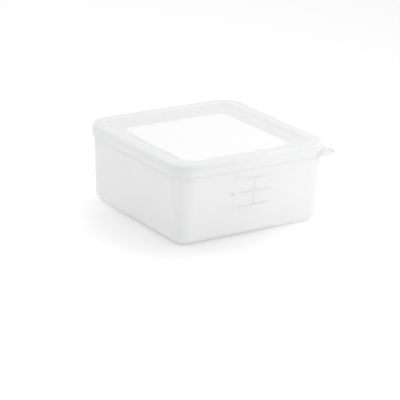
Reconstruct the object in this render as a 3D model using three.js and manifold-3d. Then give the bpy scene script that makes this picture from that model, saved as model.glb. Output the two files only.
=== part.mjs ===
// Square freezer container: a tapered tub and a press-on lid with a corner pull tab.
// Millimetres, +Z up. The origin is the centre of the tub's flat base.
// The measuring scale is on the -Y side and the pull tab on the +X -Y corner.

import * as THREE from 'three';
import { mergeVertices } from 'three/addons/utils/BufferGeometryUtils.js';
import Module from 'manifold-3d';

// Tub
const mouthWidth = 157;
const tubHeight = 72.3;
const tubWall = 1.4;
const tubFloor = 1.5;
const wallDraftDegrees = 3.6;
const mouthCornerRadius = 19.1;
const baseCornerRadius = 11.8;
const baseFillet = 8.5;
const rimBeadRise = 0.2;
const rimBeadHeight = 2.6;
const rimEdgeRadius = 0.4;

// Measuring scale moulded on the front wall
const millilitresPerPint = 568;
const scalePints = [1, 1.5, 2];
const markLength = 34;
const markThickness = 0.9;
const markRise = 0.25;
const markSink = 0.5;
const scaleClearOfSkirt = 1.5;

// Lid
const fitClearance = 0.3;
const skirtWall = 1;
const skirtHeight = 10.8;
const skirtEdgeRadius = 0.3;
const skirtChamfer = 0.5;
const shoulderStep = 0.3;
const shoulderDrop = 4.4;
const lidTopWall = 1.7;
const lidEdgeWidth = 2.4;
const lidEdgeDrop = 2.6;
const sealLipWall = 1.1;
const sealLipDepth = 5;

// Sunken panel: a step down from the rim, a border that falls gently, then the flat panel
const crownLand = 3.9;
const stepDegrees = 42;
const stepDepth = 3.6;
const stepUnderRadius = 2.7;
const stepFootRadius = 2;
const borderWidth = 11.1;
const borderFall = 1.9;
const panelCornerRadius = 8;
const panelWall = 1.3;

// Pull tab
const tabLength = 11.8;
const tabRootHalfWidth = 12.2;
const tabShoulderReach = 4;
const tabShoulderHalfWidth = 12;
const tabTipHalfWidth = 7;
const tabThickness = 2.4;
const tabWeb = 1.2;
const tabBeadWidth = 1.7;
const tabLift = 0.2;

// Facets
const cornerSteps = 8;
const filletSteps = 6;
const edgeSteps = 4;
const stepSteps = 3;
const tabCurveSteps = 10;

// Sizes that follow from the ones above
const draftSlope = Math.tan(THREE.MathUtils.degToRad(wallDraftDegrees));
const mouthHalf = mouthWidth / 2;
const lidSetOut = rimBeadRise + fitClearance + skirtWall;
const lidHalf = mouthHalf + lidSetOut;
const lidCornerRadius = mouthCornerRadius + lidSetOut;
const lidCeiling = tubHeight + fitClearance;
const lidTop = lidCeiling + lidTopWall;
const skirtBottom = lidTop - skirtHeight;
const sealOuter = lidSetOut + tubWall + fitClearance;
const sealInner = sealOuter + sealLipWall;
const crownInset = sealInner + crownLand;
const smallestCorner = 0.5;

const wasm = await Module();
wasm.setup();

// One level of a loft: a rounded square of a given half width and corner radius at a height
function level(half, cornerRadius, z) {
  return { half, radius: Math.max(cornerRadius, smallestCorner), z };
}

// The corners of one level, anticlockwise from above
function levelPoints({ half, radius, z }) {
  const points = [];
  const straight = half - radius;
  for (let corner = 0; corner < 4; corner += 1) {
    const start = (corner - 1) * Math.PI / 2;
    const middle = start + Math.PI / 4;
    const centreX = Math.sign(Math.cos(middle)) * straight;
    const centreY = Math.sign(Math.sin(middle)) * straight;
    for (let step = 0; step <= cornerSteps; step += 1) {
      const angle = start + step / cornerSteps * Math.PI / 2;
      const x = centreX + radius * Math.cos(angle);
      const y = centreY + radius * Math.sin(angle);
      points.push(new THREE.Vector3(x, y, z));
    }
  }
  return points;
}

// A closed skin through the levels, from the middle of the first to the middle of the last
function loftGeometry(levels) {
  const rings = levels.map(levelPoints);
  const count = rings[0].length;
  const positions = rings.flat().flatMap((point) => point.toArray());
  const firstCentre = rings.length * count;
  const lastCentre = firstCentre + 1;
  const lastRing = (rings.length - 1) * count;
  positions.push(0, 0, levels[0].z);
  positions.push(0, 0, levels[levels.length - 1].z);
  const indices = [];
  for (let i = 0; i < count; i += 1) {
    const next = (i + 1) % count;
    indices.push(firstCentre, next, i);
    indices.push(lastCentre, lastRing + i, lastRing + next);
    for (let ring = 0; ring < rings.length - 1; ring += 1) {
      const low = ring * count;
      const high = low + count;
      indices.push(low + i, low + next, high + next);
      indices.push(low + i, high + next, high + i);
    }
  }
  const geometry = new THREE.BufferGeometry();
  geometry.setAttribute('position', new THREE.Float32BufferAttribute(positions, 3));
  geometry.setIndex(indices);
  return geometry;
}

function toSolid(geometry) {
  const bare = geometry.clone();
  bare.deleteAttribute('normal');
  bare.deleteAttribute('uv');
  const merged = mergeVertices(bare, 1e-4);
  return new wasm.Manifold(new wasm.Mesh({
    numProp: 3,
    vertProperties: new Float32Array(merged.attributes.position.array),
    triVerts: new Uint32Array(merged.index.array),
  }));
}

function toGeometry(solid) {
  const mesh = solid.getMesh();
  const geometry = new THREE.BufferGeometry();
  geometry.setAttribute('position', new THREE.BufferAttribute(mesh.vertProperties, 3));
  geometry.setIndex(new THREE.BufferAttribute(mesh.triVerts, 1));
  geometry.computeVertexNormals();
  return geometry;
}

// Tub walls lean in from the mouth to the base
function wallHalf(z) {
  return mouthHalf - (tubHeight - z) * draftSlope;
}

function wallCorner(z) {
  return THREE.MathUtils.lerp(baseCornerRadius, mouthCornerRadius, z / tubHeight);
}

function tubLevel(inset, z) {
  return level(wallHalf(z) - inset, wallCorner(z) - inset, z);
}

// A quarter round from the flat at height bottom up into a wall that stands inset from the outside
function filletLevels(radius, bottom, inset) {
  const levels = [];
  for (let step = 0; step <= filletSteps; step += 1) {
    const angle = step / filletSteps * Math.PI / 2;
    const drawnIn = radius * (1 - Math.sin(angle));
    const z = bottom + radius * (1 - Math.cos(angle));
    levels.push(tubLevel(inset + drawnIn, z));
  }
  return levels;
}

const innerFillet = baseFillet - tubWall;

function tubGeometry() {
  const beadBottom = tubHeight - rimBeadHeight;
  const levels = filletLevels(baseFillet, 0, 0);
  levels.push(tubLevel(0, beadBottom - rimBeadRise));
  levels.push(tubLevel(-rimBeadRise, beadBottom));
  levels.push(tubLevel(-rimBeadRise, tubHeight - rimEdgeRadius));
  levels.push(tubLevel(rimEdgeRadius - rimBeadRise, tubHeight));
  levels.push(tubLevel(tubWall - rimEdgeRadius, tubHeight));
  levels.push(tubLevel(tubWall, tubHeight - rimEdgeRadius));
  levels.push(...filletLevels(innerFillet, tubFloor, tubWall).reverse());
  return loftGeometry(levels);
}

// Inside area of the tub at a height, with the round at the foot of the wall
function insideArea(z) {
  const above = Math.min(z - tubFloor, innerFillet);
  const drawnIn = innerFillet - Math.sqrt(innerFillet ** 2 - (innerFillet - above) ** 2);
  const { half, radius } = tubLevel(tubWall + drawnIn, z);
  return 4 * half ** 2 - (4 - Math.PI) * radius ** 2;
}

// Height to which a volume fills the tub
function fillHeight(millilitres) {
  const slice = 0.05;
  let left = millilitres * 1000;
  let z = tubFloor;
  while (left > 0) {
    left -= insideArea(z + slice / 2) * slice;
    z += slice;
  }
  return z;
}

// A raised bar that lies on the leaning front wall, half sunk into it so that the two join
function wallBar(width, lowZ, highZ) {
  const depth = markRise + markSink;
  const lean = THREE.MathUtils.degToRad(wallDraftDegrees);
  const bar = new THREE.BoxGeometry(width, depth, highZ - lowZ);
  bar.translate(0, (markSink - markRise) / 2, 0);
  bar.rotateX(lean);
  const middleZ = (lowZ + highZ) / 2;
  bar.translate(0, -wallHalf(middleZ), middleZ);
  return bar;
}

function scaleBars() {
  const halfMark = markThickness / 2;
  const highest = skirtBottom - scaleClearOfSkirt;
  const heights = scalePints.map((pints) => fillHeight(pints * millilitresPerPint));
  const shown = heights.filter((z) => z + halfMark < highest);
  const bars = shown.map((z) => wallBar(markLength, z - halfMark, z + halfMark));
  if (shown.length > 1) {
    bars.push(wallBar(markThickness, shown[0], shown[shown.length - 1]));
  }
  return bars;
}

// Lid levels are set in from its outside
function lidLevel(inset, z) {
  return level(lidHalf - inset, lidCornerRadius - inset, z);
}

// Levels from the rim down to the edge of the sunken panel, at a depth below its skin
function recessLevels(depth) {
  const topRadius = stepUnderRadius + panelWall;
  const radii = topRadius + stepFootRadius;
  const steepest = Math.acos(Math.max(0, 1 - stepDepth / radii));
  const slope = Math.min(THREE.MathUtils.degToRad(stepDegrees), steepest);
  const straightDrop = stepDepth - radii * (1 - Math.cos(slope));
  const stepInset = crownInset + radii * Math.sin(slope) + straightDrop / Math.tan(slope);
  const levels = [];
  for (let step = 0; step <= stepSteps; step += 1) {
    const angle = step / stepSteps * slope;
    const inset = crownInset + (topRadius - depth) * Math.sin(angle);
    const drop = topRadius - (topRadius - depth) * Math.cos(angle);
    levels.push(lidLevel(inset, lidTop - drop));
  }
  for (let step = stepSteps; step >= 0; step -= 1) {
    const angle = step / stepSteps * slope;
    const inset = stepInset - (stepFootRadius + depth) * Math.sin(angle);
    const drop = stepDepth - stepFootRadius + (stepFootRadius + depth) * Math.cos(angle);
    levels.push(lidLevel(inset, lidTop - drop));
  }
  const panelHalf = lidHalf - stepInset - borderWidth;
  levels.push(level(panelHalf, panelCornerRadius, lidTop - stepDepth - borderFall - depth));
  return levels;
}

function lidGeometry() {
  const sealBottom = lidCeiling - sealLipDepth;
  const sealLean = sealLipDepth * draftSlope;
  const shoulder = lidTop - shoulderDrop;
  const levels = recessLevels(panelWall).reverse();
  levels.push(
    lidLevel(sealInner, lidCeiling),
    lidLevel(sealInner + sealLean, sealBottom),
    lidLevel(sealOuter + sealLean, sealBottom),
    lidLevel(sealOuter, lidCeiling),
    lidLevel(skirtWall + skirtChamfer, lidCeiling),
    lidLevel(skirtWall, lidCeiling - skirtChamfer),
    lidLevel(skirtWall, skirtBottom + skirtEdgeRadius),
    lidLevel(skirtWall - skirtEdgeRadius, skirtBottom),
    lidLevel(skirtEdgeRadius, skirtBottom),
    lidLevel(0, skirtBottom + skirtEdgeRadius),
    lidLevel(0, shoulder - shoulderStep),
    lidLevel(shoulderStep, shoulder),
  );
  for (let step = 0; step <= edgeSteps; step += 1) {
    const angle = step / edgeSteps * Math.PI / 2;
    const inset = shoulderStep + lidEdgeWidth * (1 - Math.cos(angle));
    levels.push(lidLevel(inset, lidTop - lidEdgeDrop * (1 - Math.sin(angle))));
  }
  levels.push(...recessLevels(0));
  return loftGeometry(levels);
}

// Pull tab outline: x runs out from the lid's corner along the diagonal, y along the corner
function tabOutline(inset, rootRadius) {
  const rootHalf = tabRootHalfWidth - inset;
  const shoulderHalf = tabShoulderHalfWidth - inset;
  const tipHalf = tabTipHalfWidth - inset;
  const tip = tabLength - inset;
  const rootAngle = Math.asin(rootHalf / rootRadius);
  const rootX = rootRadius * Math.cos(rootAngle) - lidCornerRadius;
  const outline = new THREE.Shape();
  outline.moveTo(rootX, -rootHalf);
  outline.bezierCurveTo(tabShoulderReach, -shoulderHalf, tip, -tipHalf, tip, 0);
  outline.bezierCurveTo(tip, tipHalf, tabShoulderReach, shoulderHalf, rootX, rootHalf);
  outline.absarc(-lidCornerRadius, 0, rootRadius, rootAngle, -rootAngle, true);
  return outline;
}

function tabPlate(outline, bottom, top) {
  const options = { depth: top - bottom, bevelEnabled: false, curveSegments: tabCurveSteps };
  const plate = new THREE.ExtrudeGeometry(outline, options);
  plate.translate(0, 0, bottom);
  return plate;
}

// A tongue with a raised bead all round a thinner web
function tabSolid() {
  const pocketDepth = (tabThickness - tabWeb) / 2;
  const tongue = tabOutline(0, lidCornerRadius - skirtWall / 2);
  const pocket = tabOutline(tabBeadWidth, lidCornerRadius + tabBeadWidth / 2);
  const lower = tabPlate(pocket, -tabThickness, pocketDepth);
  const upper = tabPlate(pocket, tabThickness - pocketDepth, 2 * tabThickness);
  const whole = toSolid(tabPlate(tongue, 0, tabThickness));
  const solid = whole.subtract(toSolid(lower)).subtract(toSolid(upper));
  const geometry = toGeometry(solid);
  const cornerReach = (lidHalf - lidCornerRadius) * Math.SQRT2 + lidCornerRadius;
  geometry.translate(cornerReach, 0, skirtBottom + tabLift);
  geometry.rotateZ(-Math.PI / 4);
  return toSolid(geometry);
}

const tubPlastic = new THREE.MeshStandardMaterial({
  color: 0xeceeee,
  roughness: 0.5,
  metalness: 0,
});
const lidPlastic = new THREE.MeshStandardMaterial({
  color: 0xf1f2f2,
  roughness: 0.35,
  metalness: 0,
});

const bars = scaleBars().map(toSolid);
const tubSolid = bars.reduce((solid, bar) => solid.add(bar), toSolid(tubGeometry()));
const tub = new THREE.Mesh(toGeometry(tubSolid), tubPlastic);
tub.name = 'tub';

const lidSolid = toSolid(lidGeometry()).add(tabSolid());
const lid = new THREE.Mesh(toGeometry(lidSolid), lidPlastic);
lid.name = 'lid';

const container = new THREE.Group();
container.add(tub, lid);

export default container;
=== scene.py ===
"""Freezer container: fine surfaces, milky plastic, a pale floor, soft light and the camera."""
import math

import bpy
from mathutils import Matrix, Vector


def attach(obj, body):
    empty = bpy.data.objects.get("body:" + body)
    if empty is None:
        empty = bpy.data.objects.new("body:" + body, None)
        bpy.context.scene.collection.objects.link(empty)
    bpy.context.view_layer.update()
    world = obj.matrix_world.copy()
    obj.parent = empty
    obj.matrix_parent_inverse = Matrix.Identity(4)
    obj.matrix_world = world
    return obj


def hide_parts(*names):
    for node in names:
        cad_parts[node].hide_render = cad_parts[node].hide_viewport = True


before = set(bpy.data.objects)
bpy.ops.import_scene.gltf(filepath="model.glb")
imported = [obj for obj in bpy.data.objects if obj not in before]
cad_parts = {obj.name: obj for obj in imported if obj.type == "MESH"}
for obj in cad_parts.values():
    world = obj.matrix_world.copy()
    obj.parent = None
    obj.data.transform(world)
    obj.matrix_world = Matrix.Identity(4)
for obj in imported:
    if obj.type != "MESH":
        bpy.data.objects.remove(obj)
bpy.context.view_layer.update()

MM = 0.001

# Tub, in millimetres
MOUTH_HALF = 78.5
TUB_HEIGHT = 72.3
TUB_WALL = 1.4
TUB_FLOOR = 1.5
WALL_DRAFT = math.radians(3.6)
MOUTH_CORNER = 19.1
BASE_CORNER = 11.8
BASE_FILLET = 8.5
BEAD_RISE = 0.2
BEAD_HEIGHT = 2.6
RIM_ROUND = 0.4

# Measuring scale
MARK_HEIGHTS = (28.2, 41.0, 53.5)
MARK_LABELS = ("1", "1½", "2")
MARK_LENGTH = 34.0
MARK_THICKNESS = 0.9
MARK_RISE = 0.25
MARK_SINK = 0.3
MARK_SIDE_RISE = 0.12
MARK_TOP_SHARE = 0.5
LABEL_SIZE = 5.2
LABEL_GAP = 2.0

# Soft ends of a mark: distance from its end and the share of its rise there
MARK_END = ((0.0, 0.0), (0.15, 0.7), (0.45, 1.0))

# Lid
FIT_CLEARANCE = 0.3
LID_TOP_WALL = 1.7
LID_EDGE_WIDTH = 2.4
LID_EDGE_DROP = 2.6
SKIRT_WALL = 1.0
SKIRT_HEIGHT = 10.8
SKIRT_ROUND = 0.3
SKIRT_CHAMFER = 0.5
SHOULDER_STEP = 0.3
SHOULDER_DROP = 4.4
SEAL_WALL = 1.1
SEAL_DEPTH = 5.0
SEAL_CHAMFER = 0.3

# Soft shoulder on the skirt: share of its step and height from its line
SHOULDER_CURVE = ((0, -0.7), (1 / 6, -0.45), (5 / 6, -0.15), (1, 0.1))

# Sunken panel: a flat crown, a step down, a border that falls gently, then the flat panel
CROWN_LAND = 3.9
CROWN_STRIP = 2.0
STEP_SLOPE = math.radians(42)
STEP_DEPTH = 3.6
STEP_UNDER_ROUND = 2.7
STEP_FOOT_ROUND = 2.0
BORDER_WIDTH = 11.1
BORDER_FALL = 1.9
PANEL_CORNER = 8.0
PANEL_WALL = 1.3

# Pull tab
TAB_LENGTH = 11.8
TAB_ROOT_HALF = 12.2
TAB_SHOULDER_REACH = 4.0
TAB_SHOULDER_HALF = 12.0
TAB_TIP_HALF = 7.0
TAB_THICKNESS = 2.4
TAB_WEB = 1.2
TAB_BEAD = 1.7
TAB_BEAD_END_ANGLE = 8
TAB_WEB_STRIPS = (0.6, 2.6)
TAB_LIFT = 0.2

# Sizes that follow from the ones above
LID_SET_OUT = BEAD_RISE + FIT_CLEARANCE + SKIRT_WALL
LID_HALF = MOUTH_HALF + LID_SET_OUT
LID_CORNER = MOUTH_CORNER + LID_SET_OUT
LID_CEILING = TUB_HEIGHT + FIT_CLEARANCE
LID_TOP = LID_CEILING + LID_TOP_WALL
SKIRT_BOTTOM = LID_TOP - SKIRT_HEIGHT
SEAL_OUTER = LID_SET_OUT + TUB_WALL + FIT_CLEARANCE
SEAL_INNER = SEAL_OUTER + SEAL_WALL
CROWN_INSET = SEAL_INNER + CROWN_LAND
STEP_TOP_ROUND = STEP_UNDER_ROUND + PANEL_WALL
STEP_FOOT_HEIGHT = LID_TOP - STEP_DEPTH
PANEL_HEIGHT = STEP_FOOT_HEIGHT - BORDER_FALL

# Fineness
CORNER_STEPS = 18
SIDE_STEPS = 12
FILLET_STEPS = 12
WALL_STEPS = 12
INNER_WALL_STEPS = 7
ROUND_STEPS = 3
EDGE_STEPS = 8
STEP_STEPS = 6
BORDER_STEPS = 6
BASE_RINGS = 5
PANEL_UNDER_RINGS = 6
PANEL_RINGS = 14
TAB_CURVE_STEPS = 20
TAB_EDGE_STEPS = 6
TAB_BEAD_STEPS = 5
SMALLEST_CORNER = 0.3

# Plastic
COOL_TINT = (0, 0.002, 0.003)
NOISE_LOW = 0.3
NOISE_HIGH = 0.7
CLOUD_SCALE = 22
CLOUD_DETAIL = 3
SCUFF_SCALE = 70
SCUFF_DETAIL = 5
SCUFF_ROUGHNESS = 0.65
WAVE_SCALE = 35
WAVE_DETAIL = 1
WAVE_STRENGTH = 0.5
GRAIN_DETAIL = 2
GRAIN_STRENGTH = 0.35
PLASTIC_IOR = 1.5
FACING_UP = 0.5
PANEL_TOLERANCE = 0.05

# Floor, in metres, just below the base: its glow rises outwards from its own centre, set off towards
# the front-left, so it is dimmer round the container's foot as a painted contact shadow
FLOOR_HALF = 4.0
FLOOR_PLACE = Vector((-0.045, -0.03, -0.0002))
FLOOR_COLOUR = (0.7, 0.7, 0.7, 1)
FLOOR_ROUGHNESS = 0.9
FLOOR_SHEEN = 0.1
GLOW_START = 0.05
GLOW_END = 0.12
GLOW_AT_FOOT = 0.24
GLOW_AWAY = 0.35
WHITE = (1, 1, 1, 1)
WORLD_STRENGTH = 0.62

# Camera, as fitted to the photograph, in metres and pixels
CAMERA_AZIMUTH = math.radians(-33.947)
CAMERA_ELEVATION = math.radians(19.311)
CAMERA_ROLL = math.radians(2.033)
CAMERA_DISTANCE = 1.65994
CAMERA_AIM = Vector((0, 0, 0.032))
CAMERA_REACH = 50
FOCAL_PIXELS = 1849.3
IMAGE_PIXELS = 400
AIM_PIXEL = (205.01, 175.60)
SENSOR = 36.0
LIGHT_AIM = Vector((0, 0, 0.04))


def add_to_scene(item):
    bpy.context.scene.collection.objects.link(item)


def between(start, end, share):
    return start + (end - start) * share


def round_turn(steps, first, last):
    """Sine and cosine along a rounded turn from one angle to another, in degrees."""
    turn = []
    for step in range(steps + 1):
        angle = math.radians(between(first, last, step / steps))
        turn.append((math.sin(angle), math.cos(angle)))
    return turn


# Lofted rounded squares: a level is a half width, a corner radius and a height
def level(half, corner, z):
    return half, max(corner, SMALLEST_CORNER), z


def wall_half(z):
    return MOUTH_HALF - (TUB_HEIGHT - z) * math.tan(WALL_DRAFT)


def tub_level(inset, z):
    corner = between(BASE_CORNER, MOUTH_CORNER, z / TUB_HEIGHT)
    return level(wall_half(z) - inset, corner - inset, z)


def lid_level(inset, z):
    return level(LID_HALF - inset, LID_CORNER - inset, z)


def ring(half, corner, z):
    """Points of a rounded square, anticlockwise from above, with steps along its straight sides."""
    points = []
    straight = half - corner
    quarter_turn = math.pi / 2
    for quarter in range(4):
        start = (quarter - 1) * quarter_turn
        middle = start + quarter_turn / 2
        x0 = math.copysign(straight, math.cos(middle))
        y0 = math.copysign(straight, math.sin(middle))
        for step in range(CORNER_STEPS + 1):
            angle = start + step / CORNER_STEPS * quarter_turn
            x = x0 + corner * math.cos(angle)
            y = y0 + corner * math.sin(angle)
            points.append(Vector((x, y, z)))
        corner_end = points[-1]
        ahead = start + quarter_turn
        along = Vector((-math.sin(ahead), math.cos(ahead), 0))
        for step in range(1, SIDE_STEPS):
            points.append(corner_end + along * (2 * straight * step / SIDE_STEPS))
    return points


def shrunk(points, share):
    return [Vector((p.x * share, p.y * share, p.z)) for p in points]


def new_object(name, vertices, faces, smooth=True):
    mesh = bpy.data.meshes.new(name)
    mesh.from_pydata([tuple(v * MM) for v in vertices], [], faces)
    mesh.validate()
    mesh.polygons.foreach_set("use_smooth", [smooth] * len(mesh.polygons))
    piece = bpy.data.objects.new(name, mesh)
    add_to_scene(piece)
    return piece


def loft(name, levels, first_rings, last_rings):
    """A closed skin through the levels, with both ends closed by shrinking rings."""
    first, last = levels[0], levels[-1]
    rings = []
    for step in range(1, first_rings):
        rings.append(shrunk(ring(*first), step / first_rings))
    rings += [ring(*one) for one in levels]
    for step in range(last_rings - 1, 0, -1):
        rings.append(shrunk(ring(*last), step / last_rings))
    count = len(rings[0])
    vertices = [point for one in rings for point in one]
    first_centre = len(vertices)
    last_centre = first_centre + 1
    vertices += [Vector((0, 0, first[2])), Vector((0, 0, last[2]))]
    faces = []
    final = (len(rings) - 1) * count
    for i in range(count):
        j = (i + 1) % count
        faces.append((first_centre, j, i))
        faces.append((last_centre, final + i, final + j))
        for low in range(0, final, count):
            high = low + count
            faces.append((low + i, low + j, high + j, high + i))
    return new_object(name, vertices, faces)


# Tub
def tub_levels():
    """Up the outside from the base, over the rim and down the inside to the floor."""
    bead_bottom = TUB_HEIGHT - BEAD_HEIGHT
    wall_top = bead_bottom - BEAD_RISE
    levels = []
    for s, c in round_turn(FILLET_STEPS, 0, 90):
        levels.append(tub_level(BASE_FILLET * (1 - s), BASE_FILLET * (1 - c)))
    for step in range(1, WALL_STEPS + 1):
        levels.append(tub_level(0, between(BASE_FILLET, wall_top, step / WALL_STEPS)))
    levels.append(tub_level(-BEAD_RISE, bead_bottom))
    for s, c in round_turn(ROUND_STEPS, 0, 90):
        levels.append(tub_level(RIM_ROUND * (1 - c) - BEAD_RISE, TUB_HEIGHT - RIM_ROUND * (1 - s)))
    for s, c in round_turn(ROUND_STEPS, 90, 0):
        levels.append(tub_level(TUB_WALL - RIM_ROUND * (1 - c), TUB_HEIGHT - RIM_ROUND * (1 - s)))
    inner_fillet = BASE_FILLET - TUB_WALL
    inner_top = TUB_HEIGHT - RIM_ROUND
    inner_foot = TUB_FLOOR + inner_fillet
    for step in range(1, INNER_WALL_STEPS):
        levels.append(tub_level(TUB_WALL, between(inner_top, inner_foot, step / INNER_WALL_STEPS)))
    for s, c in round_turn(FILLET_STEPS, 90, 0):
        levels.append(tub_level(TUB_WALL + inner_fillet * (1 - s), TUB_FLOOR + inner_fillet * (1 - c)))
    return levels


# Lid
def recess_levels(depth):
    """From the crown down the rounded step and the border to the panel, at a depth below its skin."""
    radii = STEP_TOP_ROUND + STEP_FOOT_ROUND
    straight_drop = STEP_DEPTH - radii * (1 - math.cos(STEP_SLOPE))
    step_inset = CROWN_INSET + radii * math.sin(STEP_SLOPE) + straight_drop / math.tan(STEP_SLOPE)
    steep = math.degrees(STEP_SLOPE)
    top_radius = STEP_TOP_ROUND - depth
    foot_radius = STEP_FOOT_ROUND + depth
    top_centre = LID_TOP - STEP_TOP_ROUND
    foot_centre = STEP_FOOT_HEIGHT + STEP_FOOT_ROUND
    levels = []
    for s, c in round_turn(STEP_STEPS, 0, steep):
        levels.append(lid_level(CROWN_INSET + top_radius * s, top_centre + top_radius * c))
    for s, c in round_turn(STEP_STEPS, steep, 0):
        levels.append(lid_level(step_inset - foot_radius * s, foot_centre - foot_radius * c))
    for step in range(1, BORDER_STEPS + 1):
        share = step / BORDER_STEPS
        half = LID_HALF - step_inset - BORDER_WIDTH * share
        corner = between(LID_CORNER - step_inset, PANEL_CORNER, share)
        levels.append(level(half, corner, between(STEP_FOOT_HEIGHT, PANEL_HEIGHT, share) - depth))
    return levels


def lid_levels():
    """From under the panel, round the seal lip and the skirt, over the edge and into the recess."""
    lean = SEAL_DEPTH * math.tan(WALL_DRAFT)
    seal_bottom = LID_CEILING - SEAL_DEPTH
    seal_edge = seal_bottom + SEAL_CHAMFER
    shoulder = LID_TOP - SHOULDER_DROP
    levels = recess_levels(PANEL_WALL)[::-1]
    levels += [
        lid_level(SEAL_INNER, LID_CEILING),
        lid_level(SEAL_INNER + lean, seal_edge),
        lid_level(SEAL_INNER + lean - SEAL_CHAMFER, seal_bottom),
        lid_level(SEAL_OUTER + lean + SEAL_CHAMFER, seal_bottom),
        lid_level(SEAL_OUTER + lean, seal_edge),
        lid_level(SEAL_OUTER, LID_CEILING),
        lid_level(SKIRT_WALL + SKIRT_CHAMFER, LID_CEILING),
        lid_level(SKIRT_WALL, LID_CEILING - SKIRT_CHAMFER),
        lid_level(SKIRT_WALL, SKIRT_BOTTOM + SKIRT_ROUND),
    ]
    for s, c in round_turn(ROUND_STEPS, 0, 90):
        inset = SKIRT_WALL - SKIRT_ROUND * (1 - c)
        levels.append(lid_level(inset, SKIRT_BOTTOM + SKIRT_ROUND * (1 - s)))
    for s, c in round_turn(ROUND_STEPS, 90, 0):
        levels.append(lid_level(SKIRT_ROUND * (1 - c), SKIRT_BOTTOM + SKIRT_ROUND * (1 - s)))
    for share, height in SHOULDER_CURVE:
        levels.append(lid_level(SHOULDER_STEP * share, shoulder + height))
    for s, c in round_turn(EDGE_STEPS, 0, 90):
        inset = SHOULDER_STEP + LID_EDGE_WIDTH * (1 - c)
        levels.append(lid_level(inset, LID_TOP - LID_EDGE_DROP * (1 - s)))
    levels.append(lid_level(CROWN_INSET - CROWN_STRIP, LID_TOP))
    levels += recess_levels(0)
    return levels


def dress_lid(lid, panel_index, painted_step_index):
    """Gives the flat panel and the step round it their own materials: the panel's lighter shade is a
    painted reflection and the step's lighter shade is painted light, though both are one moulding with
    the lid.
    """
    for polygon in lid.data.polygons:
        normal, centre = polygon.normal, polygon.center
        if normal.z < FACING_UP:
            continue
        # The panel's material is glossy and painted lighter than the lid: painted reflection
        if abs(centre.z - PANEL_HEIGHT * MM) < PANEL_TOLERANCE * MM:
            polygon.material_index = panel_index
        # The step's material is the lid's plastic painted lighter: painted light
        elif centre.z > STEP_FOOT_HEIGHT * MM and normal.xy.dot(centre.xy) < 0:
            polygon.material_index = painted_step_index


# Pull tab
def bezier(a, b, c, d, steps):
    points = []
    for step in range(steps + 1):
        t = step / steps
        u = 1 - t
        points.append(a * u ** 3 + b * 3 * u * u * t + c * 3 * u * t * t + d * t ** 3)
    return points


def tab_outline(inset, root_radius):
    """Half outlines joined at the tip: x out along the corner's diagonal, y along the corner."""
    root_half = TAB_ROOT_HALF - inset
    root_x = math.sqrt(root_radius ** 2 - root_half ** 2) - LID_CORNER
    tip = TAB_LENGTH - inset
    near = bezier(
        Vector((root_x, -root_half)),
        Vector((TAB_SHOULDER_REACH, -(TAB_SHOULDER_HALF - inset))),
        Vector((tip, -(TAB_TIP_HALF - inset))),
        Vector((tip, 0)),
        TAB_CURVE_STEPS,
    )
    far = [Vector((p.x, -p.y)) for p in reversed(near[:-1])]
    return near + far


def tab_profile():
    """Inset and height above the middle, from the tab's edge over its bead to its web."""
    edge = TAB_THICKNESS / 2
    web = TAB_WEB / 2
    half_bead = TAB_BEAD / 2
    profile = []
    for s, c in round_turn(TAB_EDGE_STEPS, 0, 90):
        profile.append((half_bead * (1 - c), edge * s))
    for s, c in round_turn(TAB_BEAD_STEPS, 90, TAB_BEAD_END_ANGLE):
        profile.append((TAB_BEAD - half_bead * (1 - c), between(web, edge, s)))
    for strip in TAB_WEB_STRIPS:
        profile.append((TAB_BEAD + strip, web))
    return profile


def build_tab():
    """A tongue with a rounded bead along its edge, the same above and below its middle."""
    middle = TAB_THICKNESS / 2
    root_radius = LID_CORNER - SKIRT_WALL / 2
    rows = [(tab_outline(inset, root_radius), height) for inset, height in tab_profile()]
    count = len(rows[0][0])
    vertices = []
    for line, height in rows:
        vertices += [Vector((p.x, p.y, middle + height)) for p in line]
    lower = len(vertices)
    for line, height in rows[1:]:
        vertices += [Vector((p.x, p.y, middle - height)) for p in line]

    def top(row, i):
        return row * count + i

    def under(row, i):
        if row == 0:
            return top(0, i)
        return lower + (row - 1) * count + i

    faces = []
    inner = len(rows) - 1
    last = count - 1
    half = count // 2
    for row in range(inner):
        ahead = row + 1
        for i in range(last):
            faces.append((top(row, i), top(row, i + 1), top(ahead, i + 1), top(ahead, i)))
            faces.append((under(row, i + 1), under(row, i), under(ahead, i), under(ahead, i + 1)))
        near = (top(row, 0), top(ahead, 0), under(ahead, 0), under(row, 0))
        far = (top(ahead, last), top(row, last), under(row, last), under(ahead, last))
        # The first row has one line of points for both sides, so its end faces are triangles
        faces.append(tuple(dict.fromkeys(near)))
        faces.append(tuple(dict.fromkeys(far)))
    for side, order in ((top, 1), (under, -1)):
        for i in range(half - 1):
            j = last - i
            face = (side(inner, i), side(inner, i + 1), side(inner, j - 1), side(inner, j))
            faces.append(face[::order])
        tip = (side(inner, half - 1), side(inner, half), side(inner, half + 1))
        faces.append(tip[::order])
    faces.append((top(inner, 0), top(inner, last), under(inner, last), under(inner, 0)))
    reach = (LID_HALF - LID_CORNER) * math.sqrt(2) + LID_CORNER
    place = Matrix.Rotation(-math.pi / 4, 4, "Z")
    place @= Matrix.Translation((reach, 0, SKIRT_BOTTOM + TAB_LIFT))
    return new_object("pull_tab", [place @ v for v in vertices], faces)


# Measuring scale
def on_wall(x, z, out):
    """A point on the leaning front wall, standing out of it by some millimetres."""
    y = -wall_half(z) - out * math.cos(WALL_DRAFT)
    return Vector((x, y, z - out * math.sin(WALL_DRAFT)))


def bar_section():
    """Side and height of the corners of a mark's section, which has sloping shoulders."""
    half = MARK_THICKNESS / 2
    top_half = half * MARK_TOP_SHARE
    return (
        (-half, -MARK_SINK),
        (half, -MARK_SINK),
        (half, MARK_SIDE_RISE),
        (top_half, MARK_RISE),
        (-top_half, MARK_RISE),
        (-half, MARK_SIDE_RISE),
    )


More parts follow.
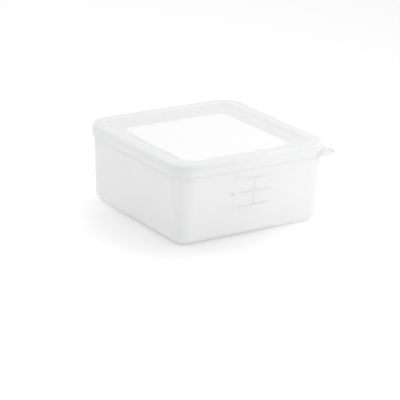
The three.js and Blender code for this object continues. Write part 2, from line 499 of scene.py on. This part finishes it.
def bar_points(x0, z0, x1, z1):
    """The sections of one raised bar on the wall, with soft ends."""
    along = Vector((x1 - x0, z1 - z0))
    length = along.length
    along.normalize()
    across = Vector((-along.y, along.x))
    stops = list(MARK_END)
    stops += [(length - distance, share) for distance, share in reversed(MARK_END)]
    sections = []
    for distance, share in stops:
        section = []
        for side, out in bar_section():
            # Only what stands out of the wall gets lower towards the ends
            lift = min(out, out * share)
            x = x0 + along.x * distance + across.x * side
            z = z0 + along.y * distance + across.y * side
            section.append(on_wall(x, z, lift))
        sections.append(section)
    return sections


def bar_faces(first, sections):
    """Faces round a bar and on its ends, for points that start at a given number."""
    count = len(sections[0])
    final = first + (len(sections) - 1) * count
    faces = []
    for start in range(first, final, count):
        for k in range(count):
            a, b = start + k, start + (k + 1) % count
            faces.append((a, b, b + count, a + count))
    faces.append(tuple(range(first + count - 1, first - 1, -1)))
    faces.append(tuple(range(final, final + count)))
    return faces


def build_scale():
    """The raised marks and the upright bar that joins them, sunk a little into the wall."""
    half = MARK_LENGTH / 2
    bars = [(-half, z, half, z) for z in MARK_HEIGHTS]
    bars.append((0, MARK_HEIGHTS[0], 0, MARK_HEIGHTS[-1]))
    vertices, faces = [], []
    for ends in bars:
        sections = bar_points(*ends)
        faces += bar_faces(len(vertices), sections)
        for section in sections:
            vertices += section
    return new_object("scale_marks", vertices, faces, smooth=False)


def build_label(name, text, z):
    """A raised number beside its mark."""
    curve = bpy.data.curves.new("number", "FONT")
    curve.body = text
    curve.size = LABEL_SIZE
    curve.align_x = "RIGHT"
    curve.align_y = "CENTER"
    curve.extrude = (MARK_RISE + MARK_SINK) / 2
    writing = bpy.data.objects.new("number", curve)
    add_to_scene(writing)
    bpy.context.view_layer.update()
    depsgraph = bpy.context.evaluated_depsgraph_get()
    mesh = bpy.data.meshes.new_from_object(writing.evaluated_get(depsgraph))
    bpy.data.objects.remove(writing)
    bpy.data.curves.remove(curve)
    right = -MARK_LENGTH / 2 - LABEL_GAP
    middle = (MARK_RISE - MARK_SINK) / 2
    for vertex in mesh.vertices:
        p = vertex.co
        vertex.co = on_wall(right + p.x, z + p.y, p.z + middle) * MM
    label = bpy.data.objects.new(name, mesh)
    add_to_scene(label)
    return label


# Materials
def milky(shade):
    return tuple(shade + tint for tint in COOL_TINT) + (1,)


def add_node(tree, kind, **settings):
    node = tree.nodes.new(kind)
    for key, value in settings.items():
        setattr(node, key, value)
    return node


def noise_node(tree, place, scale, detail, roughness=0.5):
    node = add_node(tree, "ShaderNodeTexNoise")
    node.inputs["Scale"].default_value = scale
    node.inputs["Detail"].default_value = detail
    node.inputs["Roughness"].default_value = roughness
    tree.links.new(place, node.inputs["Vector"])
    return node.outputs["Fac"]


def map_range(tree, value, low, high, to_low, to_high, interpolation="LINEAR"):
    node = add_node(tree, "ShaderNodeMapRange", interpolation_type=interpolation)
    tree.links.new(value, node.inputs["Value"])
    node.inputs["From Min"].default_value = low
    node.inputs["From Max"].default_value = high
    node.inputs["To Min"].default_value = to_low
    node.inputs["To Max"].default_value = to_high
    return node.outputs["Result"]


def bump_node(tree, height, distance, strength):
    node = add_node(tree, "ShaderNodeBump")
    node.inputs["Distance"].default_value = distance
    node.inputs["Strength"].default_value = strength
    tree.links.new(height, node.inputs["Height"])
    return node


def cloudy_colour(tree, place, shades):
    ramp = add_node(tree, "ShaderNodeValToRGB")
    for element, position, shade in zip(ramp.color_ramp.elements, (NOISE_LOW, NOISE_HIGH), shades):
        element.position = position
        element.color = milky(shade)
    tree.links.new(noise_node(tree, place, CLOUD_SCALE, CLOUD_DETAIL), ramp.inputs["Fac"])
    return ramp.outputs["Color"]


def paint_shade_fading_upwards(tree, place, colour, painted_top_shade):
    """Blends a colour into another from the lowest mark of the scale to the highest, as painted shade:
    darkest at the lowest mark, lightest at the highest.
    """
    parts = add_node(tree, "ShaderNodeSeparateXYZ")
    tree.links.new(place, parts.inputs["Vector"])
    low, high = MARK_HEIGHTS[0] * MM, MARK_HEIGHTS[-1] * MM
    mix = add_node(tree, "ShaderNodeMixRGB")
    mix.inputs["Color2"].default_value = milky(painted_top_shade)
    tree.links.new(map_range(tree, parts.outputs["Z"], low, high, 0, 1), mix.inputs["Fac"])
    tree.links.new(colour, mix.inputs["Color1"])
    return mix.outputs["Color"]


def plastic(name, shades, roughness, sheen, grain, waves, scatter, painted_top_shade=None):
    """Milky moulded plastic: cloudy colour, uneven gloss, a fine grain and faint waves.

    Grain is a noise scale and a depth, waves a depth and scatter a distance. Lengths are in metres.
    """
    material = bpy.data.materials.new(name)
    material.use_nodes = True
    tree = material.node_tree
    shader = tree.nodes["Principled BSDF"]
    place = add_node(tree, "ShaderNodeTexCoord").outputs["Object"]
    colour = cloudy_colour(tree, place, shades)
    # Painted shade: the colour fades upwards into the painted top shade
    if painted_top_shade:
        colour = paint_shade_fading_upwards(tree, place, colour, painted_top_shade)
    tree.links.new(colour, shader.inputs["Base Color"])
    scuff = noise_node(tree, place, SCUFF_SCALE, SCUFF_DETAIL, SCUFF_ROUGHNESS)
    uneven = map_range(tree, scuff, NOISE_LOW, NOISE_HIGH, *roughness)
    tree.links.new(uneven, shader.inputs["Roughness"])
    wave_noise = noise_node(tree, place, WAVE_SCALE, WAVE_DETAIL)
    wave_bump = bump_node(tree, wave_noise, waves, WAVE_STRENGTH)
    grain_scale, grain_depth = grain
    grain_noise = noise_node(tree, place, grain_scale, GRAIN_DETAIL)
    grain_bump = bump_node(tree, grain_noise, grain_depth, GRAIN_STRENGTH)
    tree.links.new(wave_bump.outputs["Normal"], grain_bump.inputs["Normal"])
    tree.links.new(grain_bump.outputs["Normal"], shader.inputs["Normal"])
    shader.inputs["IOR"].default_value = PLASTIC_IOR
    shader.inputs["Specular IOR Level"].default_value = sheen
    shader.inputs["Subsurface Weight"].default_value = 1.0 if scatter else 0.0
    shader.inputs["Subsurface Radius"].default_value = (1.0, 1.0, 1.0)
    shader.inputs["Subsurface Scale"].default_value = scatter
    return material


def give(piece, body, slot, *materials):
    for material in materials:
        piece.data.materials.append(material)
    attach(piece, body)


LID_FINISH = {
    "roughness": (0.5, 0.6),
    "sheen": 0.3,
    "grain": (700, 0.00003),
    "waves": 0.0001,
    "scatter": 0.0008,
}

tub_plastic = plastic(
    "tub_milky",
    shades=(0.835, 0.86),
    roughness=(0.38, 0.5),
    sheen=0.5,
    grain=(900, 0.00004),
    waves=0.0002,
    scatter=0.002,
)
# The marks and numbers are moulded in the tub's plastic; their darker shade, fading to the tub's own
# towards the highest mark, is painted shade
mark_painted_shade = plastic(
    "tub_marks_painted_shade",
    shades=(0.77, 0.79),
    roughness=(0.4, 0.5),
    sheen=0.5,
    grain=(900, 0.00002),
    waves=0.0001,
    scatter=0,
    painted_top_shade=0.86,
)
# The panel's plastic is glossy, and painted lighter than the lid's though they are one moulding:
# painted reflection
glossy_panel_painted_light = plastic(
    "lid_panel_painted_light",
    shades=(0.94, 0.96),
    roughness=(0.05, 0.1),
    sheen=0.6,
    grain=(500, 0.000004),
    waves=0.00005,
    scatter=0.0008,
)
lid_plastic = plastic("lid_milky", shades=(0.79, 0.815), **LID_FINISH)
# The step is the lid's plastic painted a shade lighter: painted light
step_painted_light = plastic("lid_step_painted_light", shades=(0.83, 0.855), **LID_FINISH)
# The tab is one moulding with the lid, painted a shade darker: painted shade
tab_painted_shade = plastic("lid_tab_painted_shade", shades=(0.765, 0.79), **LID_FINISH)

tub = loft("tub_shell", tub_levels(), BASE_RINGS, BASE_RINGS)
give(tub, "tub", "tub_plastic", tub_plastic)
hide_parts("tub")

lid = loft("lid_shell", lid_levels(), PANEL_UNDER_RINGS, PANEL_RINGS)
give(lid, "lid", "lid_plastic", lid_plastic, glossy_panel_painted_light, step_painted_light)
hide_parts("lid")
dress_lid(lid, panel_index=1, painted_step_index=2)

tab = build_tab()
give(tab, "lid", "lid_plastic", tab_painted_shade)

marks = build_scale()
give(marks, "tub", "tub_plastic", mark_painted_shade)
for number, (text, z) in enumerate(zip(MARK_LABELS, MARK_HEIGHTS), start=1):
    label = build_label(f"scale_number_{number}", text, z)
    give(label, "tub", "tub_plastic", mark_painted_shade)

for piece in (tub, lid, tab):
    weighted = piece.modifiers.new("even_shading", "WEIGHTED_NORMAL")
    weighted.keep_sharp = True


# Floor, light and camera
def build_floor():
    far = FLOOR_HALF
    mesh = bpy.data.meshes.new("floor")
    corners = [(-far, -far, 0), (far, -far, 0), (far, far, 0), (-far, far, 0)]
    mesh.from_pydata(corners, [], [(0, 1, 2, 3)])
    floor = bpy.data.objects.new("floor", mesh)
    floor.location = FLOOR_PLACE
    add_to_scene(floor)
    material = bpy.data.materials.new("pale_floor")
    material.use_nodes = True
    tree = material.node_tree
    shader = tree.nodes["Principled BSDF"]
    shader.inputs["Base Color"].default_value = FLOOR_COLOUR
    shader.inputs["Roughness"].default_value = FLOOR_ROUGHNESS
    shader.inputs["Specular IOR Level"].default_value = FLOOR_SHEEN
    shader.inputs["Emission Color"].default_value = WHITE
    place = add_node(tree, "ShaderNodeTexCoord").outputs["Object"]
    distance = add_node(tree, "ShaderNodeVectorMath", operation="LENGTH")
    tree.links.new(place, distance.inputs[0])
    # Dimmer glow near the centre, by the container's foot: painted contact shadow
    glow = map_range(
        tree, distance.outputs["Value"], GLOW_START, GLOW_END, GLOW_AT_FOOT, GLOW_AWAY, "SMOOTHSTEP")
    tree.links.new(glow, shader.inputs["Emission Strength"])
    mesh.materials.append(material)


def build_world():
    world = bpy.data.worlds.new("studio")
    bpy.context.scene.world = world
    world.use_nodes = True
    background = world.node_tree.nodes["Background"]
    background.inputs["Color"].default_value = WHITE
    background.inputs["Strength"].default_value = WORLD_STRENGTH


def soft_box(name, bearing, height, distance, size, brightness):
    """A soft light that faces the container: bearing from +Y towards +X and height in degrees."""
    turn, rise = math.radians(bearing), math.radians(height)
    level_out = math.cos(rise)
    out = Vector((math.sin(turn) * level_out, math.cos(turn) * level_out, math.sin(rise)))
    data = bpy.data.lights.new(name, "AREA")
    data.shape = "RECTANGLE"
    data.size, data.size_y = size
    data.energy = brightness * math.pi * size[0] * size[1]
    light = bpy.data.objects.new(name, data)
    light.location = LIGHT_AIM + out * distance
    light.rotation_euler = (-out).to_track_quat("-Z", "Y").to_euler()
    light.visible_camera = False
    add_to_scene(light)


def build_camera():
    data = bpy.data.cameras.new("camera")
    data.sensor_width = SENSOR
    data.sensor_fit = "HORIZONTAL"
    data.lens = FOCAL_PIXELS / IMAGE_PIXELS * SENSOR
    data.clip_end = CAMERA_REACH
    camera = bpy.data.objects.new("camera", data)
    add_to_scene(camera)
    level_out = math.cos(CAMERA_ELEVATION)
    back = Vector((
        math.sin(CAMERA_AZIMUTH) * level_out,
        -math.cos(CAMERA_AZIMUTH) * level_out,
        math.sin(CAMERA_ELEVATION),
    ))
    flat_right = Vector((math.cos(CAMERA_AZIMUTH), math.sin(CAMERA_AZIMUTH), 0))
    flat_up = back.cross(flat_right)
    right = flat_right * math.cos(CAMERA_ROLL) + flat_up * math.sin(CAMERA_ROLL)
    up = flat_up * math.cos(CAMERA_ROLL) - flat_right * math.sin(CAMERA_ROLL)
    per_pixel = CAMERA_DISTANCE / FOCAL_PIXELS
    middle = IMAGE_PIXELS / 2
    place = CAMERA_AIM + back * CAMERA_DISTANCE
    place -= right * (AIM_PIXEL[0] - middle) * per_pixel
    place += up * (AIM_PIXEL[1] - middle) * per_pixel
    turn = Matrix((right, up, back)).transposed().to_4x4()
    camera.matrix_world = Matrix.Translation(place) @ turn
    bpy.context.scene.camera = camera


build_floor()
build_world()
soft_box("overhead", bearing=0, height=90, distance=1.26, size=(1.4, 1.4), brightness=0.73)
soft_box("behind", bearing=34, height=18, distance=1.4, size=(1.8, 0.7), brightness=0.15)
soft_box("backdrop", bearing=34, height=19, distance=1.4, size=(0.6, 0.5), brightness=0.25)
soft_box("behind_left", bearing=-40, height=25, distance=1.3, size=(1.0, 1.0), brightness=1.0)
soft_box("front", bearing=190, height=28, distance=1.3, size=(1.2, 1.0), brightness=0.57)
soft_box("high_right", bearing=75, height=62, distance=0.55, size=(0.4, 0.4), brightness=0.56)
soft_box("right_front", bearing=147, height=20, distance=0.32, size=(0.2, 0.2), brightness=1.16)
build_camera()
bpy.context.scene.view_settings.view_transform = "Standard"
